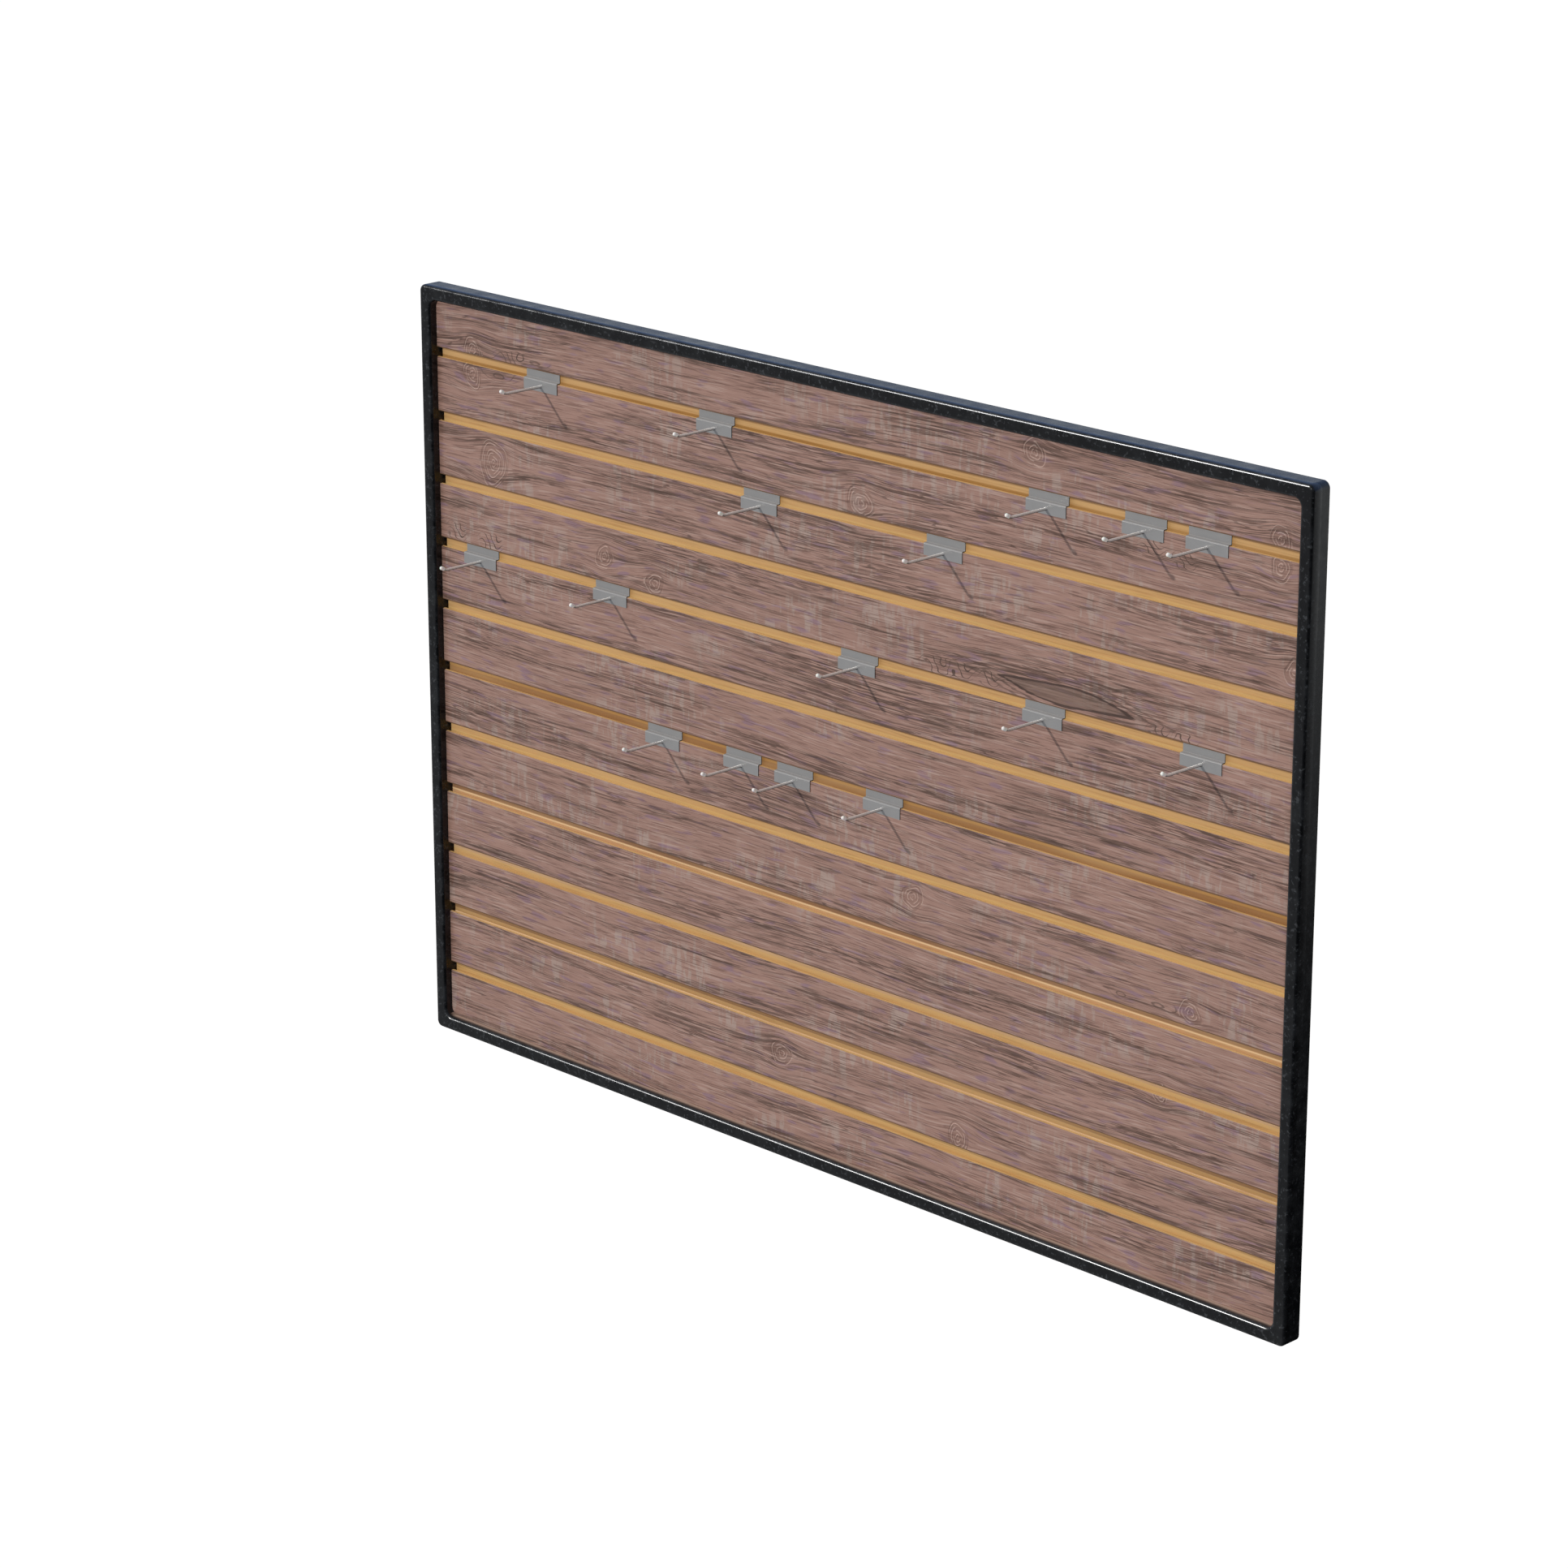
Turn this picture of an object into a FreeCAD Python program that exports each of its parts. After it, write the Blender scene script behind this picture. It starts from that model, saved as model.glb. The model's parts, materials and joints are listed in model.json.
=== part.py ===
import FreeCAD, Part
import math
import os

# A framed slatwall panel with sixteen single-prong hooks. Millimetres.
# Origin: centre of the wall plane (the back of the frame). +X right, +Y into the wall, +Z up.

# --- frame: steel profile, mitred, welded, ground and painted ---
overall_width = 1325.0
overall_height = 921.0
frame_depth = 25.4
rail_face = 17.0            # width of a rail seen from the front
rail_wall = 1.6             # sheet thickness of the hollow profile
edge_radius = 4.0           # rolled edges of the front face
outer_corner_radius = 8.0
inner_corner_radius = 9.0
lip_width = 14.0            # flange at the back that the panel sits against
lip_thickness = 2.0

# --- panel: slats on a plywood back board ---
groove_pitch = 76.2         # 3 in on centre
groove_opening = 11.6
end_slat_min = 50.0         # least height of the top and bottom slats
slat_thickness = 8.5
slat_lip = 3.5              # front lip over the undercut
undercut = 7.0              # height of the undercut behind each lip
slat_ease = 0.5             # eased front edges
board_thickness = 4.0
panel_clearance = 0.25      # slats and board to the frame, each side

# --- screws: countersunk wood screws, all from behind ---
screw_radius = 1.75
screw_head_radius = 3.3
screw_head_depth = 1.7
screw_in_slat = 5.5         # how far a screw goes into a slat
screw_clearance = 0.05
screw_columns = 5           # board screws along a slat
screw_end_margin = 160.0    # outermost board screw to the slat's end
lip_columns = 6             # lip screws along the top and bottom lips

# --- wall inserts: countersunk M6 rivet nuts in the back of the side rails ---
insert_spacing_z = 762.0
insert_bore_radius = 2.5    # M6 tapping bore
insert_radius = 4.5
insert_head_radius = 5.6
insert_head_depth = 1.1
insert_collar_radius = 6.2  # the bulge that grips the wall from inside
insert_collar_length = 3.0
insert_length = 14.0
insert_clearance = 0.05

# --- hooks: bent plate, welded wire prong, dipped vinyl tip cap ---
plate_width = 55.5
plate_thickness = 1.0
plate_drop = 12.2           # lower leg below the groove's lower edge
plate_tongue = 5.0          # upper leg above the groove's upper edge
plate_bend_radius = 0.5     # inside radius of both bends
hook_clearance = 0.2        # hook to slat
wire_radius = 1.6
wire_drop = 6.3             # wire axis below the groove's lower edge
wire_rise = 1.0             # degrees, the long straight
wire_straight = 50.5
wire_bend_radius = 10.0
wire_turn = 25.0            # degrees, the tip turns up
wire_tip = 5.5
cap_radius = 2.2
cap_grip = 4.0              # length of wire inside the cap
cap_clearance = 0.05

# Each hook: its groove, counted from the top, and its place along it as a share of half the opening.
hook_places = (
    (1, -0.723), (1, -0.285), (1, 0.473), (1, 0.677), (1, 0.808),
    (2, -0.177), (2, 0.250),
    (4, -0.893), (4, -0.550), (4, 0.055), (4, 0.473), (4, 0.808),
    (6, -0.419), (6, -0.222), (6, -0.097), (6, 0.115),
)

# --- worked out ---
opening_width = overall_width - 2 * rail_face
opening_height = overall_height - 2 * rail_face
board_front = -lip_thickness - board_thickness
slat_front = board_front - slat_thickness
groove_count = int((opening_height - 2 * end_slat_min) // groove_pitch) + 1
panel_half_width = opening_width / 2 - panel_clearance
panel_half_height = opening_height / 2 - panel_clearance


def groove_z(number):
    """Height of a groove's centre line, grooves counted from the top."""
    return groove_pitch * ((groove_count - 1) / 2 - (number - 1))


def outline(points, place):
    """Closed face through 2-D points (a, b, radius), each corner rounded; place maps (a, b) to a vector."""
    edges, previous, first = [], None, None
    count = len(points)
    for i, (a, b, radius) in enumerate(points):
        here = FreeCAD.Vector(a, b, 0)
        back = FreeCAD.Vector(*points[i - 1][:2], 0) - here
        ahead = FreeCAD.Vector(*points[(i + 1) % count][:2], 0) - here
        back.normalize()
        ahead.normalize()
        if radius:
            half = back.getAngle(ahead) / 2
            reach = radius / math.tan(half)
            middle = back + ahead
            middle.normalize()
            centre = here + middle * (radius / math.sin(half))
            start, end = here + back * reach, here + ahead * reach
            arc = Part.Arc(place(start), place(centre - middle * radius), place(end))
        else:
            start = end = here
        if previous is None:
            first = start
        else:
            edges.append(Part.LineSegment(place(previous), place(start)).toShape())
        if radius:
            edges.append(arc.toShape())
        previous = end
    edges.append(Part.LineSegment(place(previous), place(first)).toShape())
    return Part.Face(Part.Wire(edges))


def rounded_prism(half_x, half_z, radius, y_front, y_back):
    """Rectangle in X and Z with rounded corners, extruded from y_front back to y_back."""
    points = [(-half_x, -half_z, radius), (half_x, -half_z, radius),
              (half_x, half_z, radius), (-half_x, half_z, radius)]
    face = outline(points, lambda p: FreeCAD.Vector(p.x, y_front, p.y))
    return face.extrude(FreeCAD.Vector(0, y_back - y_front, 0))


def length_prism(points, x_from, x_to):
    """Outline in Y and Z, extruded along X."""
    face = outline(points, lambda p: FreeCAD.Vector(x_from, p.x, p.y))
    return face.extrude(FreeCAD.Vector(x_to - x_from, 0, 0))


def turned(points, x, z):
    """Solid of revolution about the line (x, z) along Y from (radius, y) points."""
    ring = [FreeCAD.Vector(x + r, y, z) for r, y in points]
    face = Part.Face(Part.makePolygon(ring + ring[:1]))
    return face.revolve(FreeCAD.Vector(x, 0, z), FreeCAD.Vector(0, 1, 0), 360)


def front_edges(shape, y):
    """Edges that lie in the plane at depth y."""
    box = [e.BoundBox for e in shape.Edges]
    return [e for e, b in zip(shape.Edges, box) if abs(b.YMin - y) < 1e-6 and abs(b.YMax - y) < 1e-6]


# --- frame ---
def frame_ring(inset, y_front, y_back):
    """Ring of the profile's section, inset by a wall, with its front edges rolled."""
    outer = rounded_prism(overall_width / 2 - inset, overall_height / 2 - inset,
                          outer_corner_radius - inset, y_front, y_back)
    inner = rounded_prism(opening_width / 2 + inset, opening_height / 2 + inset,
                          inner_corner_radius + inset, y_front, y_back)
    ring = outer.cut(inner)
    return ring.makeFillet(edge_radius - inset, front_edges(ring, y_front))


def make_frame():
    """Whole frame as one ring: hollow profile with the flange behind the panel."""
    skin = frame_ring(0, -frame_depth, 0)
    hollow = frame_ring(rail_wall, rail_wall - frame_depth, -rail_wall)
    lip = rounded_prism(opening_width / 2 + rail_wall / 2, opening_height / 2 + rail_wall / 2,
                        inner_corner_radius, -lip_thickness, 0)
    window = rounded_prism(opening_width / 2 - lip_width, opening_height / 2 - lip_width,
                           rail_wall, -lip_thickness, 0)
    return skin.fuse(lip.cut(window)).cut(hollow).removeSplitter()


def mitre(shape, side):
    """The part of the ring that belongs to one rail, cut along the 45 degree mitres."""
    w, h = overall_width / 2, overall_height / 2
    inset = rail_face + lip_width
    if side in ("top", "bottom"):
        sign = 1 if side == "top" else -1
        points = [(-w, sign * h), (w, sign * h), (w - inset, sign * (h - inset)),
                  (inset - w, sign * (h - inset))]
    else:
        sign = 1 if side == "right" else -1
        points = [(sign * w, h), (sign * w, -h), (sign * (w - inset), inset - h),
                  (sign * (w - inset), h - inset)]
    ring = [FreeCAD.Vector(a, -frame_depth, b) for a, b in points]
    wedge = Part.Face(Part.makePolygon(ring + ring[:1])).extrude(FreeCAD.Vector(0, frame_depth, 0))
    return shape.common(wedge)


# --- screws ---
def screw(x, z, y_head, y_tip):
    """Countersunk screw whose head is flush with y_head and whose tip is at y_tip."""
    return turned([(0, y_head), (screw_head_radius, y_head), (screw_radius, y_head - screw_head_depth),
                   (screw_radius, y_tip + screw_radius), (0, y_tip)], x, z)


def screw_hole(x, z, y_head, y_tip):
    """Clearance for a screw, all round and past its tip."""
    c = screw_clearance
    return turned([(0, y_head + c), (screw_head_radius + 2 * c, y_head + c),
                   (screw_radius + c, y_head - screw_head_depth), (screw_radius + c, y_tip - c),
                   (0, y_tip - c)], x, z)


def spread(half, count):
    """Evenly spaced places from -half to half."""
    return [half * (2 * i / (count - 1) - 1) for i in range(count)]


def slat_limits(number):
    """Bottom and top of a slat's front face, slats counted from the top."""
    top = panel_half_height if number == 1 else groove_z(number - 1) - groove_opening / 2
    last = number == groove_count + 1
    bottom = -panel_half_height if last else groove_z(number) + groove_opening / 2
    return bottom, top


def slat_centre(number):
    return sum(slat_limits(number)) / 2


slat_numbers = range(1, groove_count + 2)
screw_tip = board_front - screw_in_slat
board_screw_x = spread(opening_width / 2 - screw_end_margin, screw_columns)
board_screws = [(x, slat_centre(n)) for n in slat_numbers for x in board_screw_x]
lip_x = opening_width / 2 - lip_width / 2
lip_z = opening_height / 2 - lip_width / 2
lip_screws = [(side * lip_x, slat_centre(n)) for n in slat_numbers for side in (-1, 1)]
lip_screws += [(x, side * lip_z) for x in spread(lip_x - lip_width * 3, lip_columns) for side in (-1, 1)]


# --- panel ---
def make_slat(number):
    """T-section slat: a front lip over each undercut, and full thickness at the frame."""
    bottom, top = slat_limits(number)
    under_low = 0 if number == groove_count + 1 else undercut
    under_high = 0 if number == 1 else undercut
    lip_back = slat_front + slat_lip
    points = [(slat_front, bottom, slat_ease), (lip_back, bottom, 0), (lip_back, bottom + under_low, 0),
              (board_front, bottom + under_low, 0), (board_front, top - under_high, 0),
              (lip_back, top - under_high, 0), (lip_back, top, 0), (slat_front, top, slat_ease)]
    kept = [p for i, p in enumerate(points) if p[:2] != points[i - 1][:2]]
    slat = length_prism(kept, -panel_half_width, panel_half_width)
    return slat.common(rounded_prism(panel_half_width, panel_half_height, inner_corner_radius,
                                     slat_front, board_front))


def make_board():
    return rounded_prism(panel_half_width, panel_half_height, inner_corner_radius,
                         board_front, -lip_thickness)


# --- wall inserts ---
insert_places = [(sx * (overall_width - rail_face) / 2, sz * insert_spacing_z / 2)
                 for sx in (-1, 1) for sz in (-1, 1)]


def make_insert(x, z):
    """Rivet nut: countersunk head flush with the back, collar gripping the wall, blind threaded barrel."""
    collar_front = -rail_wall - insert_collar_length
    body = turned([(0, 0), (insert_head_radius, 0), (insert_radius, -insert_head_depth),
                   (insert_radius, -rail_wall), (insert_collar_radius, -rail_wall),
                   (insert_collar_radius, collar_front), (insert_radius, collar_front),
                   (insert_radius, -insert_length), (0, -insert_length)], x, z)
    bore_depth = insert_length - (insert_radius - insert_bore_radius)
    return body.cut(turned([(0, 0), (insert_bore_radius, 0), (insert_bore_radius, -bore_depth),
                            (0, -bore_depth)], x, z))


def insert_hole(x, z):
    """Countersunk hole for a rivet nut through the rail's back wall."""
    c = insert_clearance
    return turned([(0, c), (insert_head_radius + 2 * c, c), (insert_radius + c, -insert_head_depth),
                   (insert_radius + c, -rail_wall - c), (0, -rail_wall - c)], x, z)


# --- hooks ---
leg_back = slat_front - hook_clearance
leg_front = leg_back - plate_thickness
tongue_front = slat_front + slat_lip + hook_clearance
tongue_back = tongue_front + plate_thickness


def make_plate(x, z):
    """Strip bent twice: leg on the slat's face, step over the lower lip, tongue behind the upper lip."""
    lower_edge, upper_edge = z - groove_opening / 2, z + groove_opening / 2
    step_low = lower_edge + hook_clearance
    step_high = step_low + plate_thickness
    outside = plate_bend_radius + plate_thickness
    points = [(leg_front, lower_edge - plate_drop, 0), (leg_back, lower_edge - plate_drop, 0),
              (leg_back, step_low, plate_bend_radius), (tongue_back, step_low, outside),
              (tongue_back, upper_edge + plate_tongue, 0), (tongue_front, upper_edge + plate_tongue, 0),
              (tongue_front, step_high, plate_bend_radius), (leg_front, step_high, outside)]
    return length_prism(points, x - plate_width / 2, x + plate_width / 2)


def arm_path(x, z):
    """Wire axis from the plate out to its end, and the direction it ends in."""
    rise, climb = math.radians(wire_rise), math.radians(wire_rise + wire_turn)

    def ahead(angle):
        return FreeCAD.Vector(0, -math.cos(angle), math.sin(angle))

    def aside(angle):
        return FreeCAD.Vector(0, math.sin(angle), math.cos(angle))

    root = FreeCAD.Vector(x, leg_front, z - groove_opening / 2 - wire_drop)
    bend = root + ahead(rise) * wire_straight
    centre = bend + aside(rise) * wire_bend_radius
    middle = centre - aside((rise + climb) / 2) * wire_bend_radius
    bend_end = centre - aside(climb) * wire_bend_radius
    end = bend_end + ahead(climb) * wire_tip
    edges = [Part.LineSegment(root, bend).toShape(), Part.Arc(bend, middle, bend_end).toShape(),
             Part.LineSegment(bend_end, end).toShape()]
    return Part.Wire(edges), end, ahead(climb)


def make_arm(x, z):
    """Round wire along the arm path, its root cut flush with the plate."""
    path, _, _ = arm_path(x, z)
    start = path.Edges[0].Vertexes[0].Point
    along = path.Edges[0].tangentAt(path.Edges[0].FirstParameter)
    circle = Part.Wire(Part.makeCircle(wire_radius, start, along))
    wire = path.makePipeShell([circle], True, False)
    trim = Part.makeBox(4 * wire_radius, wire_radius, 4 * wire_radius,
                        start - FreeCAD.Vector(2 * wire_radius, 0, 2 * wire_radius))
    return wire.cut(trim)


def make_cap(x, z):
    """Round-nosed sleeve over the wire's end."""
    _, end, out = arm_path(x, z)
    mouth = end - out * cap_grip
    body = Part.makeCylinder(cap_radius, cap_grip, mouth, out).fuse(Part.makeSphere(cap_radius, end))
    return body.cut(Part.makeCylinder(wire_radius + cap_clearance, cap_grip + cap_clearance, mouth, out))


def save(shapes, node):
    """One STEP file per node; several shapes stay separate solids."""
    solids = [s for shape in shapes for s in shape.Solids]
    shape = solids[0] if len(solids) == 1 else Part.makeCompound(solids)
    shape.exportStep("parts/" + node + ".step")


os.makedirs("parts", exist_ok=True)

frame = make_frame()
insert_holes = Part.makeCompound([insert_hole(x, z) for x, z in insert_places])
lip_holes = Part.makeCompound([screw_hole(x, z, 0, screw_tip) for x, z in lip_screws])
board_holes = Part.makeCompound([screw_hole(x, z, -lip_thickness, screw_tip) for x, z in board_screws])
for side in ("top", "bottom", "left", "right"):
    save([mitre(frame, side).cut(insert_holes).cut(lip_holes)], "rail_" + side)

save([make_board().cut(lip_holes).cut(board_holes)], "back_board")
for number in slat_numbers:
    save([make_slat(number).cut(lip_holes).cut(board_holes)], f"slat_{number:02d}")
save([screw(x, z, 0, screw_tip) for x, z in lip_screws], "lip_screws")
save([screw(x, z, -lip_thickness, screw_tip) for x, z in board_screws], "board_screws")
save([make_insert(x, z) for x, z in insert_places], "wall_inserts")

for i, (groove, share) in enumerate(hook_places, start=1):
    x, z = share * opening_width / 2, groove_z(groove)
    save([make_plate(x, z), make_arm(x, z)], f"hook_{i:02d}")
    save([make_cap(x, z)], f"tip_cap_{i:02d}")
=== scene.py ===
"""Looks of a framed slatwall panel: wood-print slats on a golden plywood board, in a black enamelled
steel frame, with wire hooks that slide along the grooves. Sizes in the sections are in millimetres."""

import json
import math

import bpy
import numpy as np
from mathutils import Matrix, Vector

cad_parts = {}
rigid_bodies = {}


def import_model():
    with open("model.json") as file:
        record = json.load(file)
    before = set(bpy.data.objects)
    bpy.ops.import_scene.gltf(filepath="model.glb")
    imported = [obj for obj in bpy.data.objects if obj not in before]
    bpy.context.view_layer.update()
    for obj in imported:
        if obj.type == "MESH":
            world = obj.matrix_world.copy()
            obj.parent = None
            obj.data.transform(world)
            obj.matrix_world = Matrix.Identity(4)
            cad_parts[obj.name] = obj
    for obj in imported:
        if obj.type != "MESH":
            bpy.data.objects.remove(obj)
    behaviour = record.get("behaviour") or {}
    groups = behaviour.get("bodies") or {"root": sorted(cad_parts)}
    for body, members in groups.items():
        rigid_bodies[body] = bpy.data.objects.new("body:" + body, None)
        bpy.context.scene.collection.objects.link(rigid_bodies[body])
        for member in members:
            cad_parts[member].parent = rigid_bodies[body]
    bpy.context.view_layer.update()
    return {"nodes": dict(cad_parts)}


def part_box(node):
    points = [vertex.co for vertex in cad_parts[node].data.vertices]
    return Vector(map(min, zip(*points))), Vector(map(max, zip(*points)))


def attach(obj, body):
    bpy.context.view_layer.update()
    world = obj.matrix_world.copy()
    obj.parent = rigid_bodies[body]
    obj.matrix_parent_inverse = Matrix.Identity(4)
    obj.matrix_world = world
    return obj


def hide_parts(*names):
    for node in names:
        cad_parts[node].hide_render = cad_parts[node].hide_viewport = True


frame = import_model()

# ---- Back board ---------------------------------------------------------------------------------
# One sheet of 4 mm plywood that all the slats are screwed to. Its golden face veneer shows in the grooves,
# in two tones one above the other. In most grooves the lower tone is painted light, lighter where the groove
# keeps light off the board, and a band of painted shade lies along the top, under the lips. Its bare back
# shows from behind.
groove_pitch = 76.2
first_groove = 381.0
gold, gold_lit, back_veneer = "#c9a46f", "#d2b57b", "#b89a72"
# Groove number: (colour of the upper part, colour of the lower part, where they meet, from its centre)
groove_strips = {1: (gold, "#a67e43", -4.2), 6: ("#b1864b", "#9c7449", -1.2), 8: ("#8e6b4e", "#c8a279", -1.9),
                 9: ("#c4a37e", "#cba972", -1.2), 10: ("#8f6e4b", "#b89768", -1.8),
                 11: ("#a98858", "#cba86f", -0.8)}
# Painted light: gold_lit, the lower tone of the plain grooves, is lighter than gold to stand in for the light
# that the groove keeps off the board there; the lower tones of grooves 9 and 11 are partly lightened the same
# way.
groove_plain = (gold, gold_lit, -4.5)       # in every groove that isn't in the list
front_from = -4.5           # the board's front is further forward than this, its edges and back are not
strip_blend = 0.7
painted_highlight_lines = {8: (-3.3, 1.6), 10: (-7.6, 2.0)}     # a painted highlight along two grooves, where a plank edge would catch the light: (middle, width)
painted_highlight = "#e6cba2"
lip_shade_from, lip_shade_full = 1.2, 2.0        # painted shade: the board is darkened from this far up, under the lip
# Colour and strength of the painted shade under the lip
lip_shade, lip_shade_strength = "#7f5c38", 0.8
this_number, any_number = 0.5, 100.0   # how far a groove's number may be from the one asked for
# The fibres and the clouds of the veneer: where the mask starts and is full, its strength and colour
veneer_fibres, veneer_clouds = (0.50, 0.72, 0.42, "#946a34"), (0.45, 0.70, 0.30, "#d6b784")


def linear(hex_colour):
    """An sRGB hex colour as linear RGBA."""
    values = np.array([int(hex_colour[i:i + 2], 16) for i in (1, 3, 5)]) / 255
    curve = np.where(values <= 0.04045, values / 12.92, ((values + 0.055) / 1.055) ** 2.4)
    return (*curve.tolist(), 1.0)


def add(tree, kind, inputs=None, **settings):
    """Adds one shader node: settings are its properties, each input is a value or another node's socket."""
    node = tree.nodes.new("ShaderNode" + kind)
    for name, value in settings.items():
        setattr(node, name, value)
    for name, value in (inputs or {}).items():
        if isinstance(value, bpy.types.NodeSocket):
            tree.links.new(value, node.inputs[name])
        else:
            node.inputs[name].default_value = value
    return node


def new_material(name):
    """An empty node material and its tree."""
    made = bpy.data.materials.new(name)
    made.use_nodes = True
    made.node_tree.nodes.clear()
    return made, made.node_tree


def finish_material(tree, shader):
    """Joins the last shader node to the material's output."""
    add(tree, "OutputMaterial", {"Surface": shader.outputs[0]})


def golden_wood(name, plain, strips):
    """Rotary-cut veneer, oiled to a golden yellow: long soft fibres, hardly any gloss, a satin sheen. With
    strips, the grooves' colours go over the face, by the groove's number and the height from its centre."""
    made, tree = new_material(name)
    place = add(tree, "TexCoord").outputs["Object"]
    fibre_size, cloud_size = (0.060, 0.012, 0.0016), (0.25, 0.05, 0.02)
    noises = []
    for size, detail in ((fibre_size, 4.0), (cloud_size, 2.0)):
        scaled = add(tree, "Mapping", {"Vector": place, "Scale": [1 / s for s in size]})
        noises.append(add(tree, "TexNoise", {"Vector": scaled.outputs[0], "Scale": 1.0, "Detail": detail}))
    fibres, clouds = (n.outputs["Fac"] for n in noises)
    across = add(tree, "SeparateXYZ", {0: place}).outputs
    height, colour = across["Z"], linear(plain)
    if strips:
        behind = add(tree, "Math", {0: across["Y"], 1: front_from / 1000},
                     operation="GREATER_THAN").outputs[0]
        count = add(tree, "Math", {0: height, 1: -1000 / groove_pitch, 2: first_groove / groove_pitch + 0.5},
                    operation="MULTIPLY_ADD").outputs[0]
        number = add(tree, "Math", {0: count}, operation="FLOOR").outputs[0]
        centre = add(tree, "Math", {0: number, 1: -groove_pitch, 2: first_groove},
                     operation="MULTIPLY_ADD").outputs[0]
        offset = add(tree, "Math", {0: height, 1: 1000.0}, operation="MULTIPLY").outputs[0]
        offset = add(tree, "Math", {0: offset, 1: centre}, operation="SUBTRACT").outputs[0]
        for groove, (upper, lower, meet) in [(0, groove_plain), *groove_strips.items()]:
            here = add(tree, "Math", {0: number, 1: groove - 1.0, 2: this_number if groove else any_number},
                       operation="COMPARE").outputs[0]
            rise = add(tree, "MapRange", {"Value": offset, "From Min": meet - strip_blend,
                                          "From Max": meet + strip_blend}, interpolation_type="SMOOTHSTEP")
            strip = add(tree, "Mix", {0: rise.outputs[0], 6: linear(lower), 7: linear(upper)},
                        data_type="RGBA")
            colour = add(tree, "Mix", {0: here, 6: colour, 7: strip.outputs[2]}, data_type="RGBA").outputs[2]
        # Painted highlight: a pale line along grooves 8 and 10
        for groove, (middle, width) in painted_highlight_lines.items():
            here = add(tree, "Math", {0: number, 1: groove - 1.0, 2: this_number},
                       operation="COMPARE").outputs[0]
            near = add(tree, "Math", {0: offset, 1: middle, 2: width / 2}, operation="COMPARE")
            both = add(tree, "Math", {0: here, 1: near.outputs[0]}, operation="MULTIPLY").outputs[0]
            colour = add(tree, "Mix", {0: both, 6: colour, 7: linear(painted_highlight)}, data_type="RGBA").outputs[2]
        # Painted shade: a darker band along the top of each groove, under the lip
        dust_and_lip_shade = add(tree, "MapRange", {"Value": offset, "From Min": lip_shade_from, "From Max": lip_shade_full,
                                       "To Max": lip_shade_strength}).outputs[0]
        colour = add(tree, "Mix", {0: dust_and_lip_shade, 6: colour, 7: linear(lip_shade)}, data_type="RGBA").outputs[2]
        colour = add(tree, "Mix", {0: behind, 6: colour, 7: linear(back_veneer)}, data_type="RGBA").outputs[2]
    for fac, (low, high, strength, paint) in ((fibres, veneer_fibres), (clouds, veneer_clouds)):
        mask = add(tree, "MapRange", {"Value": fac, "From Min": low, "From Max": high, "To Max": strength})
        colour = add(tree, "Mix", {0: mask.outputs[0], 6: colour, 7: linear(paint)},
                     data_type="RGBA").outputs[2]
    bump = add(tree, "Bump", {"Height": fibres, "Strength": 0.25, "Distance": 0.0003})
    finish_material(tree, add(tree, "BsdfPrincipled", {"Base Color": colour, "Roughness": 0.55, "IOR": 1.5,
                                                       "Normal": bump.outputs[0]}))
    return made


board = frame["nodes"]["back_board"]
board.data.materials.clear()
board.data.materials.append(golden_wood("golden_plywood", gold, strips=True))

# ---- Slats --------------------------------------------------------------------------------------
# Twelve slats of golden core board, undercut along the back of each long edge so that a hook's tongue
# can stand behind the lip. A wood-print laminate with embossed knots is pressed over the front and
# wraps the eased edges. They are cut from one printed sheet, so the grain runs on across the grooves.
slat_lip = 3.5
slat_undercut = 7.0
slat_ease = 0.5
kraft_and_shade_edge = 0.8            # the laminate's dark paper core shows this high along the lower edge; it is painted shade there too
slat_corner = 9.0
# Knots of the print: (place along the panel, height, radius)
knots = [(-583, 393, 15), (-584, 364, 16), (-550, 263, 25), (-364, 187, 14), (-282, 171.5, 14), (39, 325, 18),
         (287.5, 426, 15), (616, 395, 14), (617, 366, 14), (639, 262, 14), (121, -103, 15), (-81, -340, 15),
         (516, -131, 14), (478, -231, 12), (193, -365, 16)]
# Cathedral figures: (place along the panel, height, half length, half height, rings that close round it)
figures = [(421, -137, 15, 6, 2.2), (474, -136, 30, 7, 2.6), (510, -64, 14, 6, 2.0), (-537, 366, 27, 8, 3.0),
           (-475, 392, 25, 6, 2.5), (560, 160, 40, 10, -3.2), (370, 190, 90, 9, 2.5)]
# Curls, where the rings stand upright: (place along the panel, height, half length, half height)
curls = [(152, 169, 20, 11), (186, 170, 17, 10), (228, 170, 14, 10), (448, 357, 16, 11), (492, 350, 14, 11),
         (462, 160, 15, 12), (500, 158, 17, 13), (-618, 171, 16, 12), (-560, 168, 20, 12), (-520, 393, 22, 10)]
curl_wave, curl_pitch = 3.1, 8.0
# The one closed eye of the cathedral: (place along the panel, height, half length, half height)
eye = (339, 173, 96, 11.5)
eye_bow, eye_wave, eye_point = 3.0, 1.5, 1.6        # how it bends, and how pointed its ends are
growth_pitch = 4.6          # from one growth ring of the print to the next
# Slow waves of the fibres: (height, length over one radian along the panel and upwards, phase)
grain_waves = [(2.4, 97, 150, 0.0), (0.5, 41, -61, 1.3), (7.0, 610, 93, 0.0)]
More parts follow.
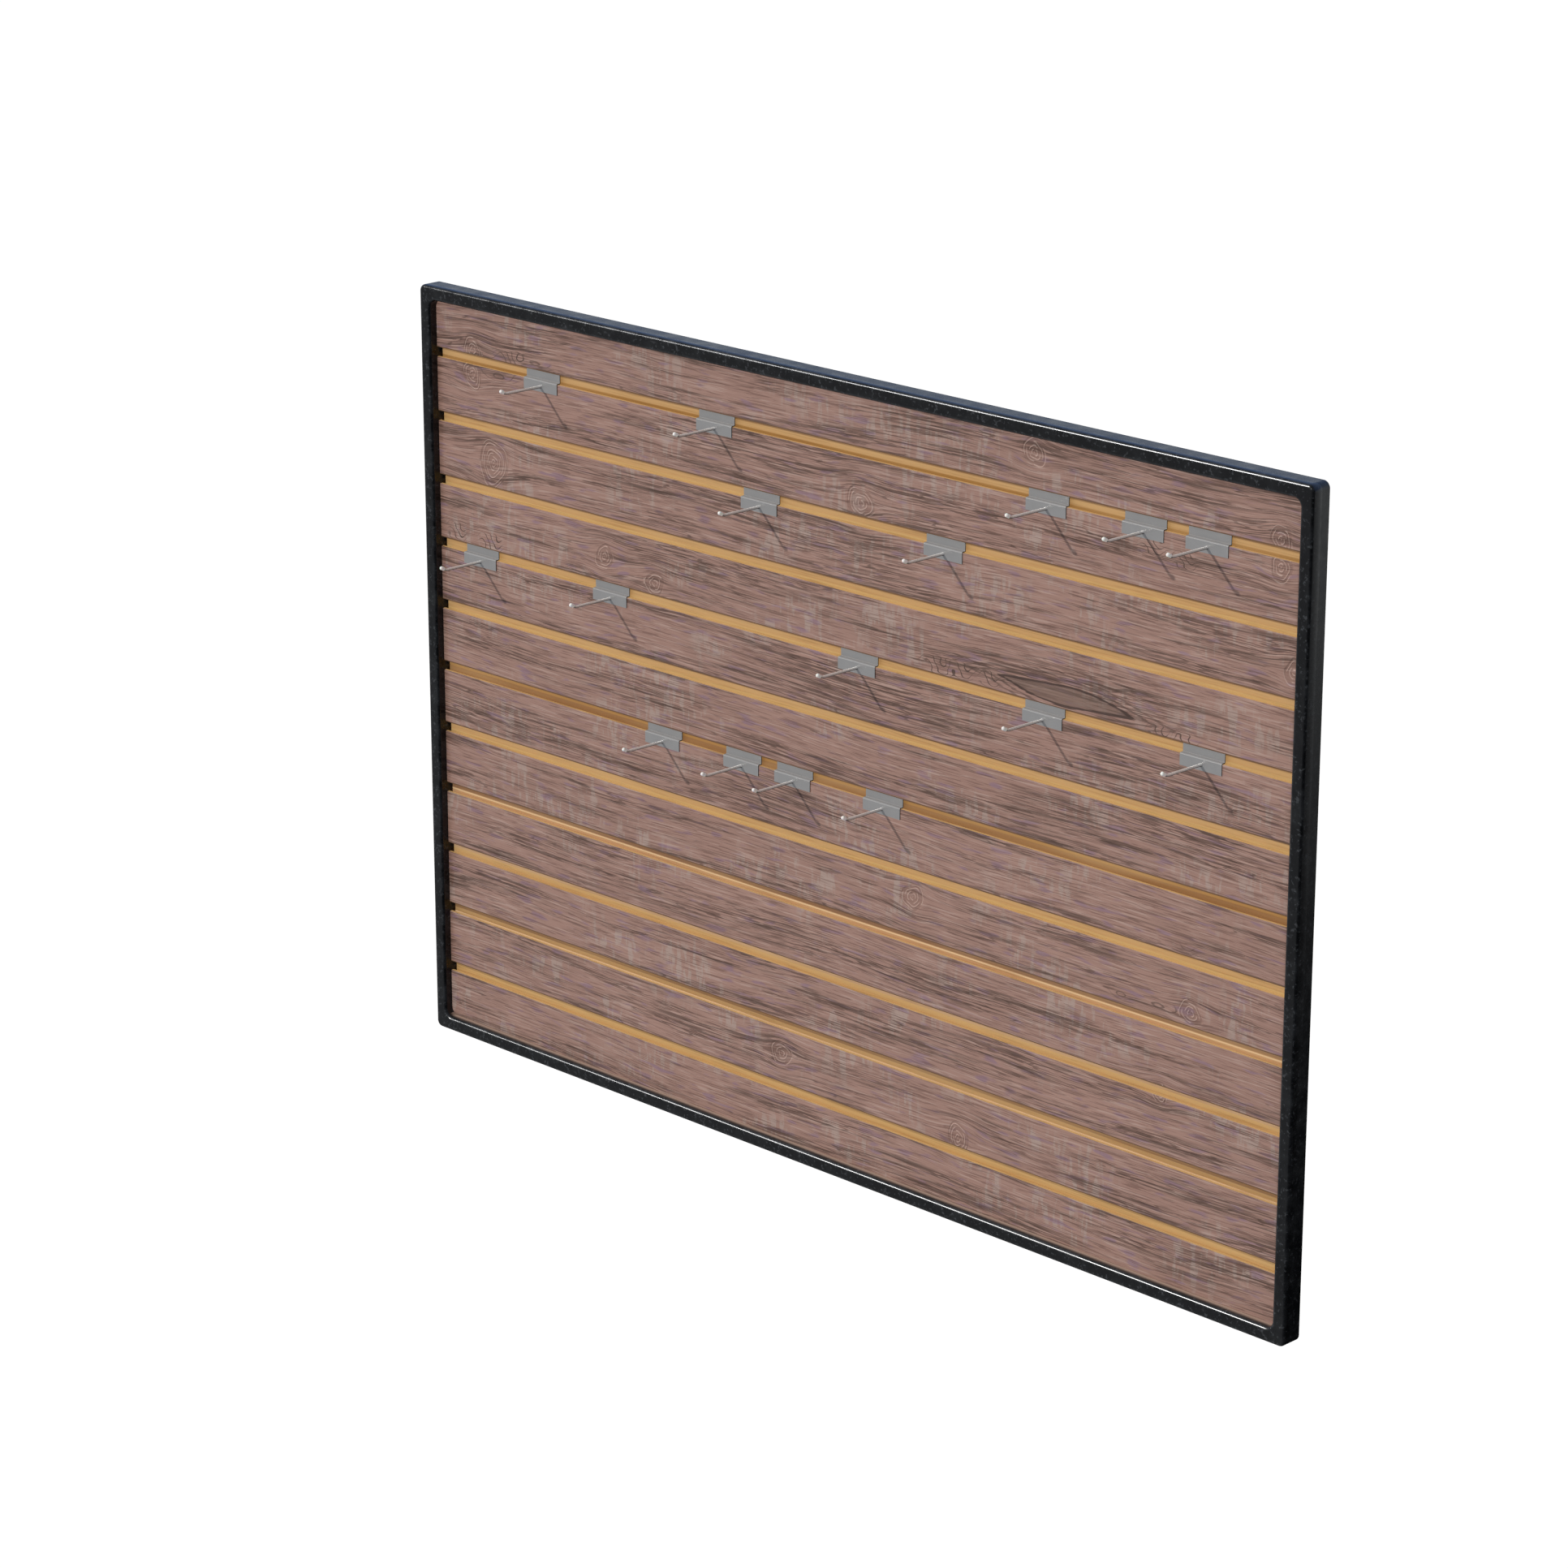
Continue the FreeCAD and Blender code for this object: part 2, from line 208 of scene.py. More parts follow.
# Wobble of a knot's rings: (share of the radius, waves in a turn, phase from one knot to the next)
knot_wobbles = [(0.09, 2, 1.0), (0.06, 3, 2.1), (0.035, 5, 3.7)]
ring_pitch = 3.6            # from one embossed ring of a knot to the next
ring_width = 0.62           # of the raised line
ring_depth = 0.6
knot_step, figure_step = 0.5, (1.6 * 1.6, 1.6)
plain_step = (6.0, 1.6)     # along the slat, and across it
knot_reach, figure_reach = 1.15, 1.5   # the mesh is finer out to this share of a knot's or a figure's size
relief_fade = 0.8           # from the eased edge to where a knot is pressed in fully
corner_steps, ease_steps, fine_step = 13, 5, 0.25
slat_nodes = sorted(n for n in frame["nodes"] if n.startswith("slat_"))


def object_of(name, mesh, body, replaced):
    """Puts a finished mesh in the scene as a piece of a body, in the place of CAD nodes."""
    piece = bpy.data.objects.new(name, mesh)
    bpy.context.scene.collection.objects.link(piece)
    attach(piece, body)
    if replaced:
        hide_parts(*replaced)
    return piece


def lofted(name, rings):
    """A closed skin over rings of points in millimetres, an array of (ring, point, XYZ): four neighbours make
    a face, each ring joins up with itself, and a flat face closes the first ring and the last."""
    stations, around = rings.shape[:2]
    i, j = np.meshgrid(np.arange(stations - 1), np.arange(around), indexing="ij")
    beside = (j + 1) % around
    faces = np.stack([i * around + j, i * around + beside, (i + 1) * around + beside, (i + 1) * around + j],
                     -1)
    last = (stations - 1) * around
    ends = [list(range(around))[::-1], list(range(last, last + around))]
    mesh = bpy.data.meshes.new(name)
    mesh.from_pydata((rings.reshape(-1, 3) / 1000).tolist(), [], faces.reshape(-1, 4).tolist() + ends)
    return mesh


def attribute(mesh, name, values):
    """Gives each point of a mesh a number that its material reads by name."""
    made = mesh.attributes.new(name, "FLOAT", "POINT")
    made.data.foreach_set("value", values.astype(np.float32).ravel())


def smooth_sides(mesh):
    """Shades the skin smooth and leaves its two end faces flat."""
    count = len(mesh.polygons)
    mesh.polygons.foreach_set("use_smooth", np.arange(count) < count - 2)


def crowded(start, end, plain, features):
    """Steps from start to end whose spacing is plain, finer by each feature (middle, half width, step)."""
    fine = np.arange(start, end, fine_step)
    density = np.full(len(fine), 1 / plain)
    for middle, half, step in features:
        density = np.where(abs(fine - middle) < half, np.maximum(density, 1 / step), density)
    total = np.concatenate([[0], np.cumsum(density) * fine_step])
    return np.interp(np.linspace(0, total[-1], int(total[-1]) + 2), total, np.append(fine, end))


def grain_of(x, z):
    """Place in the wood of a point on the print: along the fibres, across them, and the extra growth rings
    that a figure closes round itself. The fibres wander on long sine waves and bow apart round each knot.
    In a curl the rings stand upright instead, and snake; also returns how far each point is in a curl."""
    across = z + sum(rise * np.sin(x / along + z / up + phase) for rise, along, up, phase in grain_waves)
    for knot_x, knot_z, radius in knots:
        dx, dz = x - knot_x, z - knot_z
        across -= 0.6 * dz * np.exp(-(dx / (1.9 * radius)) ** 2 - (dz / (1.4 * radius)) ** 2)
    closed = np.zeros_like(x)
    for middle_x, middle_z, half_length, half_height, rings in figures:
        dx, dz = (x - middle_x) / half_length, (z - middle_z) / half_height
        closed += rings * np.exp(-(dx ** 2 + dz ** 2) * 0.9)
    upright = np.zeros_like(x)
    for middle_x, middle_z, half_length, half_height in curls:
        dx, dz = x - middle_x, z - middle_z
        here = np.exp(-(dx / half_length) ** 4 - (dz / half_height) ** 4)
        closed += here * ((dx + curl_wave * np.sin(dz / curl_wave)) / curl_pitch - dz / growth_pitch)
        upright += here
    return np.stack([x, closed, across], -1), upright


def eye_reach(x, z):
    """1 on the eye's outline, less inside. A lens: across it the reach grows evenly, along it ever faster,
    and a slow wave bends it."""
    dx = (x - eye[0]) / eye[2]
    bend = eye_bow * dx - eye_wave * np.sin(4 * dx)
    return np.sqrt(dx ** 2 + 1e-4) ** eye_point + np.abs(z - eye[1] + bend) / eye[3]


def knot_relief(x, z):
    """How far the face is pressed in: inside a knot it sinks, and narrow ridges stand up to the old level on
    wobbly rings, each broken in places. The ring number is the distance from the middle over the ring pitch.
    Also returns where the knots' painted light goes: 1 on a ridge, for a painted highlight, -1 in the hollow
    beside it, for painted shade, 0 off the knots."""
    depth, knot_light_and_shade = np.zeros_like(x), np.zeros_like(x)
    for number, (knot_x, knot_z, radius) in enumerate(knots):
        dx, dz = x - knot_x, z - knot_z
        turn, reach = np.arctan2(dz, dx), np.hypot(dx, dz)
        wobble = 1 + sum(share * np.sin(waves * turn + phase * number) for share, waves,
                         phase in knot_wobbles)
        ring = reach * wobble / ring_pitch + 0.25 * np.sin(turn + number)
        ridge = np.exp(-((ring - np.round(ring)) * ring_pitch / ring_width) ** 2)
        whole = np.clip(1.6 + 2.0 * np.sin(1.9 * turn + 2.3 * np.round(ring) + number), 0, 1)
        inside = np.clip((radius * 1.08 - reach * wobble) / 1.2, 0, 1)
        depth += ring_depth * inside * (1 - ridge * whole)
        knot_light_and_shade += inside * (2 * ridge * whole - 1)
    return depth, knot_light_and_shade


def slat_rings(low, high, top_open, bottom_open):
    """The slat's section carried along X. It runs up the front, round the eased top edge, back along the lip,
    in by the undercut, down the back and out again the same way. Where an edge isn't undercut, the end of
    the panel's rounded corner pulls it in: by the radius less the height of the arc. Also returns the knots'
    painted light and shade, how many points of a ring the laminate covers, and how many of them are on the
    lower eased edge."""
    near = [k for k in knots if low[2] - k[2] < k[1] < high[2] + k[2]]
    shown = [f for f in [*figures, *curls, eye] if low[2] - f[3] < f[1] < high[2] + f[3]]
    along = [(k[0], knot_reach * k[2], knot_step) for k in near]
    along += [(f[0], figure_reach * f[2], figure_step[0]) for f in shown]
    up = [(k[1], knot_reach * k[2], knot_step) for k in near]
    up += [(f[1], figure_reach * f[3], figure_step[1]) for f in shown]
    rounding = slat_corner * (1 - np.cos(np.linspace(0, math.pi / 2, corner_steps)))
    x = crowded(low[0] + slat_corner, high[0] - slat_corner, plain_step[0], along)
    if not (top_open and bottom_open):
        x = np.concatenate([low[0] + rounding[:-1], x, (high[0] - rounding[:-1])[::-1]])
    else:
        x = np.concatenate([low[0:1], x, high[0:1]])
    front = crowded(low[2] + slat_ease + kraft_and_shade_edge, high[2] - slat_ease, plain_step[1], up)
    front = np.concatenate([[low[2] + slat_ease], front])
    arc = np.linspace(0, math.pi / 2, ease_steps)[1:]
    ease_y, ease_z = slat_ease * (1 - np.cos(arc)), slat_ease * (1 - np.sin(arc))
    top, bottom = [(slat_lip, 0), (slat_lip, slat_undercut)], [(slat_lip, slat_undercut), (slat_lip, 0)]
    inset_top, inset_bottom = slat_undercut * top_open, slat_undercut * bottom_open
    back = high[1] - low[1]
    y = np.concatenate([np.zeros(len(front)), ease_y, [p[0] for p in top if top_open], [back, back],
                        [p[0] for p in bottom if bottom_open], ease_y[::-1]])
    z = np.concatenate([front, high[2] - ease_z, [high[2] - p[1] for p in top if top_open],
                        [high[2] - inset_top, low[2] + inset_bottom],
                        [low[2] + p[1] for p in bottom if bottom_open], low[2] + ease_z[::-1]])
    pull = np.clip(slat_corner - (high[0] - np.abs(x)), 0, slat_corner)
    pull = slat_corner - np.sqrt(slat_corner ** 2 - pull ** 2)
    share = np.clip((z - low[2]) / (high[2] - low[2]), 0, 1)
    lift = np.outer(pull, (1 - share) * (not bottom_open) - share * (not top_open))
    grid_x, grid_z = np.broadcast_to(x[:, None], lift.shape), z[None, :] + lift
    face = np.arange(len(z)) < len(front)
    edge_fade = np.clip((np.minimum(z - low[2], high[2] - z) - slat_ease) / relief_fade, 0, 1)
    depth, knot_light_and_shade = knot_relief(grid_x, grid_z)
    grid_y = low[1] + y[None, :] + np.where(face, depth * edge_fade, 0)
    return np.stack([grid_x, grid_y, grid_z], -1), knot_light_and_shade, len(front) + len(ease_y), len(ease_y)


# Decor paper under clear melamine: a mauve-brown print of weathered walnut, its dark pores drawn as short
# dashes that gather in bands, with grey brushed smudges and a few violet stains. The surface is satin.
# Each layer's grain: (length along the fibres, width across them, detail)
print_layers = {"fibres": (34, 1.1, 3.0), "pale": (70, 2.2, 2.0), "pores": (46, 1.4, 3.0),
                "dashes": (95, 2.3, 3.0),
                "bands": (260, 14, 2.0), "blotches": (120, 7.5, 2.0), "brushing": (8, 28, 2.0),
                "clouds": (110, 60, 2.0),
                "stains": (34, 7, 1.0), "tone": (340, 60, 2.0), "swirl": (26, 8, 1.0), "rings": (290, 54, 1.0)}
contours = 4.5              # drawn lines between the lightest and the darkest of the blotches
# Masks cut from the layers: (layer, where it starts, where it is full)
print_masks = {"tone": ("tone", 0.35, 0.70), "cloud": ("clouds", 0.48, 0.64), "fibre": ("fibres", 0.46, 0.60),
               "pale": ("pale", 0.55, 0.62), "band": ("bands", 0.40, 0.62), "pore": ("pores", 0.550, 0.575),
               "dash": ("dashes", 0.55, 0.58), "blotch": ("blotches", 0.56, 0.60),
               "brush": ("brushing", 0.48, 0.62),
               "stain": ("stains", 0.58, 0.72)}
# Coats of the print, each over the last: (mask, a second mask that confines it, strength, colour)
print_coats = [("tone", None, 0.40, "#ab897e"), ("fibre", None, 0.42, "#8a6a5f"),
               ("pale", None, 0.42, "#bba299"),
               ("blotch", "band", 0.36, "#6f5d53"), ("brush", "cloud", 0.54, "#ab9b93"),
               ("stain", None, 0.50, "#7c6480"),
               ("pore", None, 0.55, "#684a41"), ("pore", "band", 0.42, "#553d34"),
               ("dash", "band", 0.66, "#4a352c"),
               ("contour", "band", 0.58, "#4b352c"), ("line", "shown", 0.62, "#4e3b33")]
print_base = "#9c7b70"
# The eye's print, by its reach: (from, to, strength, colour)
eye_coats = [(0.0, 1.10, 0.60, "#69554b"), (0.0, 0.55, 0.40, "#8a7064"), (1.10, 1.28, 0.90, "#3f2d27"),
             (1.62, 1.76, 0.62, "#4b372f"), (2.12, 2.26, 0.50, "#4b372f")]
eye_ragged, eye_starts, eye_started = 0.5, 0.05, 0.02      # how the grain frets it, and how soft each edge is
# The knots' painted light, a painted highlight on a ridge and painted shade in the hollow beside it:
# (where it is full, strength, colour)
knot_highlight_and_shade = [(0.8, 0.60, "#cbb0a5"), (-1.0, 0.28, "#6b4f45")]
layer_shift = (7.3, 3.1, 5.7)          # from one layer's noise to the next, so that no two are alike
phase_drifts = {"rings": 4.0, "swirl": 0.45}           # how many growth rings each layer adds or takes away
line_width, contour_width = (0.04, 0.11), (0.05, 0.10)     # of the drawn lines: where full, where gone
figure_from, figure_full, curl_gain = 0.3, 1.4, 1.5    # how strongly the rings show in a figure or a curl


def printed_laminate():
    """Builds the layers above from the wood's own coordinates, cuts the masks, then lays on the coats."""
    made, tree = new_material("printed_melamine_laminate")
    grain = add(tree, "Attribute", attribute_name="grain").outputs["Vector"]
    noise = {}
    for number, (name, (length, width, detail)) in enumerate(print_layers.items()):
        scaled = add(tree, "Mapping", {"Vector": grain, "Scale": (1 / length, 0.0, 1 / width),
                                       "Location": [number * shift for shift in layer_shift]})
        noise[name] = add(tree, "TexNoise", {"Vector": scaled.outputs[0], "Scale": 1.0, "Detail": detail,
                                             "Roughness": 0.55}).outputs["Fac"]
    masks = {}
    for name, (source, low, high) in print_masks.items():
        masks[name] = add(tree, "MapRange", {"Value": noise[source], "From Min": low, "From Max": high},
                          interpolation_type="SMOOTHSTEP").outputs[0]
    parts = add(tree, "SeparateXYZ", {0: grain}).outputs
    phase = add(tree, "Math", {0: parts[2], 1: 1 / growth_pitch, 2: parts[1]},
                operation="MULTIPLY_ADD").outputs[0]
    for name, rings in phase_drifts.items():
        phase = add(tree, "Math", {0: noise[name], 1: rings, 2: phase}, operation="MULTIPLY_ADD").outputs[0]
    level = add(tree, "Math", {0: noise["blotches"], 1: contours}, operation="MULTIPLY").outputs[0]
    for name, count, (full, none) in (("line", phase, line_width), ("contour", level, contour_width)):
        beat = add(tree, "Math", {0: count, 1: 0.5}, operation="PINGPONG").outputs[0]
        masks[name] = add(tree, "MapRange", {"Value": beat, "From Min": full, "From Max": none, "To Min": 1.0,
                                             "To Max": 0.0}, interpolation_type="SMOOTHSTEP").outputs[0]
    figured = add(tree, "MapRange", {"Value": parts[1], "From Min": figure_from,
                                     "From Max": figure_full}).outputs[0]
    curled = add(tree, "Attribute", attribute_name="curl").outputs["Fac"]
    figured = add(tree, "Math", {0: curled, 1: curl_gain, 2: figured}, operation="MULTIPLY_ADD").outputs[0]
    masks["shown"] = add(tree, "Math", {0: masks["band"], 1: figured}, operation="MAXIMUM").outputs[0]
    colour = linear(print_base)
    for mask, confine, strength, paint in print_coats:
        amount = add(tree, "Math", {0: masks[mask], 1: strength}, operation="MULTIPLY").outputs[0]
        if confine:
            amount = add(tree, "Math", {0: amount, 1: masks[confine]}, operation="MULTIPLY").outputs[0]
        colour = add(tree, "Mix", {0: amount, 6: colour, 7: linear(paint)}, data_type="RGBA").outputs[2]
    reach = add(tree, "Attribute", attribute_name="eye").outputs["Fac"]
    reach = add(tree, "Math", {0: noise["dashes"], 1: eye_ragged, 2: reach},
                operation="MULTIPLY_ADD").outputs[0]
    for start, end, strength, paint in eye_coats:
        inner = add(tree, "MapRange", {"Value": reach, "From Min": start - eye_starts,
                                       "From Max": start + eye_started})
        outer = add(tree, "MapRange", {"Value": reach, "From Min": end, "From Max": end + eye_starts,
                                       "To Min": strength, "To Max": 0.0})
        amount = add(tree, "Math", {0: inner.outputs[0], 1: outer.outputs[0]},
                     operation="MULTIPLY").outputs[0]
        colour = add(tree, "Mix", {0: amount, 6: colour, 7: linear(paint)}, data_type="RGBA").outputs[2]
    # Painted highlight on the knots' ridges, painted shade in their hollows
    knot = add(tree, "Attribute", attribute_name="knot").outputs["Fac"]
    for full, strength, paint in knot_highlight_and_shade:
        amount = add(tree, "MapRange", {"Value": knot, "From Min": 0.0, "From Max": full, "To Max": strength})
        colour = add(tree, "Mix", {0: amount.outputs[0], 6: colour, 7: linear(paint)},
                     data_type="RGBA").outputs[2]
    bump = add(tree, "Bump", {"Height": noise["fibres"], "Strength": 0.35, "Distance": 0.0003})
    finish_material(tree, add(tree, "BsdfPrincipled", {"Base Color": colour, "Roughness": 0.5, "IOR": 1.5,
                                                       "Normal": bump.outputs[0]}))
    return made


def kraft_core_and_shade():
    """Phenolic brown paper, sawn through: the dark line that a laminate's cut edge always shows. On the
    slats' lower edge it is also painted shade, the dark line under the lip.
    """
    made, tree = new_material("kraft_paper_core")
    place = add(tree, "TexCoord").outputs["Object"]
    scaled = add(tree, "Mapping", {"Vector": place, "Scale": (1 / 0.012, 1 / 0.001, 1 / 0.001)})
    sawn = add(tree, "TexNoise", {"Vector": scaled.outputs[0], "Scale": 1.0, "Detail": 3.0}).outputs["Fac"]
    colour = add(tree, "Mix", {0: sawn, 6: linear("#5a4230"), 7: linear("#7c5c42")},
                 data_type="RGBA").outputs[2]
    finish_material(tree, add(tree, "BsdfPrincipled", {"Base Color": colour, "Roughness": 0.7, "IOR": 1.5}))
    return made


laminate = printed_laminate()
kraft_and_shade = kraft_core_and_shade()
# Painted light: the core board's gold is lighter than the plywood's, standing in for light on the lips' tops
# that the narrow grooves keep off.
slat_core = golden_wood("golden_core_board", "#e0ba80", strips=False)
for node in slat_nodes:
    low, high = (np.array(corner) * 1000 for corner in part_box(node))
    top_open, bottom_open = node != slat_nodes[0], node != slat_nodes[-1]
    rings, knot_light_and_shade, covered, eased = slat_rings(low, high, top_open, bottom_open)
    mesh = lofted(node + "_wood", rings)
    for material in (laminate, slat_core, kraft_and_shade):
        mesh.materials.append(material)
    around, face = rings.shape[1], np.arange(len(mesh.polygons))
    column = face % around
    on_lower_ease = column >= around - eased
    on_print = ((column < covered - 1) | on_lower_ease) & (face < len(face) - 2)
    # Painted shade: the lower eased edge and the strip above it take the dark paper core, for the shade under
    # the lip
    on_edge = on_print & ((column == 0) | on_lower_ease) & bottom_open
    mesh.polygons.foreach_set("material_index", np.select([on_edge, on_print], [2, 0], 1).astype(np.int32))
    mesh.polygons.foreach_set("use_smooth", on_print)
    place, upright = grain_of(rings[..., 0], rings[..., 2])
    grain = mesh.attributes.new("grain", "FLOAT_VECTOR", "POINT")
    grain.data.foreach_set("vector", place.astype(np.float32).ravel())
    attribute(mesh, "curl", upright)
    attribute(mesh, "eye", eye_reach(rings[..., 0], rings[..., 2]))
    attribute(mesh, "knot", knot_light_and_shade)
    object_of(node + "_wood", mesh, "panel", [node])

# ---- Frame --------------------------------------------------------------------------------------
# Four lengths of thin steel profile with a rolled front, mitred, welded and ground smooth at the corners,
# with a flange at the back that the panel is screwed to. Dipped in glossy black enamel, now a little worn.
rail_face, rail_roll = 17.0, 4.0
flange_width, flange_thickness = 14.0, 2.0
outer_corner, inner_corner, flange_corner = 8.0, 9.0, 1.6
back_recess = 0.15          # the enamel behind stands this far in, so that screw heads stand proud of it
arc_steps, roll_steps = 24, 13
# Rows of the section: both rolled edges, and the inner face, which on the bottom rail carries a painted
# reflection of the slats
roll_rows, ledge_rows = slice(1, 27), (26, 27)
ledge_from, ledge_full = -20.5, -16.5  # depth at which the painted reflection starts and is full
roll_rubbed_and_highlight = (0.2, 0.3)    # how much lighter the rolled edges are painted, outer and inner: wear from handling, and a painted highlight

frame_half_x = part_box("rail_right")[1].x * 1000
frame_top, frame_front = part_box("rail_top")[1].z * 1000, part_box("rail_top")[0].y * 1000


def rail_section():
    """The profile's outline as rows of (inset from the outer edge, depth, radius of the frame's corner
    there): over the outer roll, across the front, over the inner roll, back to the flange and round it."""
    roll = np.linspace(0, math.pi / 2, roll_steps)
    inset, depth = rail_roll * (1 - np.cos(roll)), frame_front + rail_roll * (1 - np.sin(roll))
    rows = [(0.0, -back_recess, outer_corner)]
    rows += [(a, b, outer_corner - a) for a, b in zip(inset, depth)]
    rows += [(rail_face - a, b, inner_corner + a) for a, b in zip(inset[::-1], depth[::-1])]
    rows += [(rail_face, -flange_thickness, inner_corner)]
    rows += [(rail_face + flange_width, -flange_thickness, flange_corner)]
    rows += [(rail_face + flange_width, -back_recess, flange_corner)]
    return np.array(rows)


def rail_rings(quarter):
    """The section carried along one side of a rounded rectangle, from mitre to mitre: an eighth of a turn at
    one corner, the straight run, and an eighth of a turn round the next. quarter turns it to its side."""
    inset, depth, radius = rail_section().T
    half_x, half_z = (frame_half_x, frame_top) if quarter % 2 == 0 else (frame_top, frame_half_x)
    turn = np.radians(np.concatenate([np.linspace(135, 90, arc_steps), np.linspace(90, 45, arc_steps)]))[:,
                                                                                                         None]
    side = np.repeat([-1, 1], arc_steps)[:, None]
    along = side * (half_x - inset - radius) + radius * np.cos(turn)
    out = half_z - inset - radius + radius * np.sin(turn)
    angle = quarter * math.pi / 2
    x = along * round(math.cos(angle)) + out * round(math.sin(angle))
    z = out * round(math.cos(angle)) - along * round(math.sin(angle))
    return np.stack([x, np.broadcast_to(depth, x.shape), z], -1)


def black_enamel():
    """Stoved black enamel on steel: deep black, glossy, reflecting the room. Handling has dulled it in cloudy
    patches with grey dust in them and rubbed the rolled edges a little; the rolled edges are painted lighter,
    as that wear and as a painted highlight. On the "ledge", the bottom rail's inner face, a brownish colour is
    a painted reflection of the slats."""
    made, tree = new_material("black_enamel")
    place = add(tree, "TexCoord").outputs["Object"]
    patches = add(tree, "TexNoise", {"Vector": place, "Scale": 42.0, "Detail": 6.0,
                                     "Roughness": 0.62}).outputs["Fac"]
    specks = add(tree, "TexNoise", {"Vector": place, "Scale": 260.0, "Detail": 3.0,
                                    "Roughness": 0.6}).outputs["Fac"]
    dust_and_lip_shade = add(tree, "MapRange", {"Value": patches, "From Min": 0.48, "From Max": 0.70, "To Max": 0.7})
    speck = add(tree, "MapRange", {"Value": specks, "From Min": 0.57, "From Max": 0.68, "To Max": 0.55})
    colour = add(tree, "Mix", {0: dust_and_lip_shade.outputs[0], 6: linear("#030304"), 7: linear("#131517")},
                 data_type="RGBA")
    colour = add(tree, "Mix", {0: speck.outputs[0], 6: colour.outputs[2], 7: linear("#3c3e42")},
                 data_type="RGBA")
    # The rolled edges are painted lighter: wear from handling, and a painted highlight
    roll = add(tree, "Attribute", attribute_name="roll").outputs["Fac"]
    rubbed_and_highlight = add(tree, "MapRange", {"Value": patches, "From Min": 0.42, "From Max": 0.58,
                                    "To Min": 0.25}).outputs[0]
    rubbed_and_highlight = add(tree, "Math", {0: roll, 1: rubbed_and_highlight}, operation="MULTIPLY").outputs[0]
    colour = add(tree, "Mix", {0: rubbed_and_highlight, 6: colour.outputs[2], 7: linear("#3d4045")}, data_type="RGBA")
    # Painted reflection: the bottom rail's inner face takes the slats' brownish colour, fading in with depth
    ledge = add(tree, "Attribute", attribute_name="ledge").outputs["Fac"]
    depth = add(tree, "SeparateXYZ", {0: place}).outputs["Y"]
    reflection_by_depth = add(tree, "MapRange", {"Value": depth, "From Min": ledge_from / 1000,
                                     "From Max": ledge_full / 1000}).outputs[0]
    ledge = add(tree, "Math", {0: ledge, 1: reflection_by_depth}, operation="MULTIPLY").outputs[0]
    colour = add(tree, "Mix", {0: ledge, 6: colour.outputs[2], 7: linear("#8a7468")}, data_type="RGBA")
    gloss = add(tree, "MapRange", {"Value": patches, "From Min": 0.35, "From Max": 0.70, "To Min": 0.14,
                                   "To Max": 0.30})
    gloss = add(tree, "Math", {0: roll, 1: 0.05, 2: gloss.outputs[0]}, operation="MULTIPLY_ADD")
    bump = add(tree, "Bump", {"Height": specks, "Strength": 0.12, "Distance": 0.0004})
    finish_material(tree, add(tree, "BsdfPrincipled",
                              {"Base Color": colour.outputs[2], "Roughness": gloss.outputs[0],
                                                       "IOR": 1.5, "Normal": bump.outputs[0]}))
    return made


enamel = black_enamel()
for quarter, node in enumerate(("rail_top", "rail_right", "rail_bottom", "rail_left")):
    rings = rail_rings(quarter)
    mesh = lofted(node + "_enamelled", rings)
    mesh.materials.append(enamel)
    stations, around = rings.shape[:2]
    rubbed_and_highlight = np.zeros(around)
    rubbed_and_highlight[roll_rows] = np.outer(roll_rubbed_and_highlight, np.sin(np.linspace(0, math.pi, roll_steps))).ravel()
    attribute(mesh, "roll", np.tile(rubbed_and_highlight, stations))
    on_ledge = np.isin(np.arange(around), ledge_rows) & (node == "rail_bottom")
    attribute(mesh, "ledge", np.tile(on_ledge, stations))
    smooth_sides(mesh)
    object_of(node + "_enamelled", mesh, "panel", [node])

# ---- Screws and wall inserts --------------------------------------------------------------------
# Countersunk chipboard screws hold the board to the slats and the frame's flange to the board, and four
# rivet nuts in the back of the side rails take the bolts to the wall. All of them are bright zinc plated.


def zinc_plate():
    """Bright zinc on turned steel: a pale bluish metal, half matt, with a fine uneven bloom."""
    made, tree = new_material("bright_zinc_plate")
    place = add(tree, "TexCoord").outputs["Object"]
    bloom = add(tree, "TexNoise", {"Vector": place, "Scale": 900.0, "Detail": 3.0}).outputs["Fac"]
    colour = add(tree, "Mix", {0: bloom, 6: linear("#a9adb0"), 7: linear("#cfd2d3")}, data_type="RGBA")
    rough = add(tree, "MapRange", {"Value": bloom, "To Min": 0.28, "To Max": 0.45})
    finish_material(tree, add(tree, "BsdfPrincipled", {"Base Color": colour.outputs[2], "Metallic": 1.0,
                                                       "Roughness": rough.outputs[0]}))
    return made


zinc = zinc_plate()
for node in ("lip_screws", "board_screws", "wall_inserts"):
    fixing = frame["nodes"][node]
    fixing.data.materials.clear()
    fixing.data.materials.append(zinc)

# ---- Hooks --------------------------------------------------------------------------------------
# Sixteen display hooks. Each is a plate of 1 mm steel, stepped so that it hangs over the slat's lip with its
# tongue behind, and a 3.2 mm wire prong welded to the plate and turned up at the end. Satin nickel plated.
plate_thickness, bend_inside, bend_steps = 1.0, 0.5, 7
plate_depth = 5.9           # from the plate's front to the back of its tongue
plate_top, plate_step = 10.8, -5.6     # height of its top and its step from the groove's centre
tongue_rise = 0.3           # straight run between the second bend and the tongue
recess_height, recess_half, recess_behind = -4.9, 0.85, 0.2    # the step's inside corner
wire_radius = 1.6
wire_rise, wire_turn = math.radians(1), math.radians(25)
wire_straight, wire_bend, wire_tip = 50.5, 10.0, 5.5
wire_root = -12.1           # height of the prong below the groove's centre
weld_flare, weld_reach = 0.35, 0.5
shade_from = 0.25           # share of the radius above the wire's middle where the painted shade on its underside starts
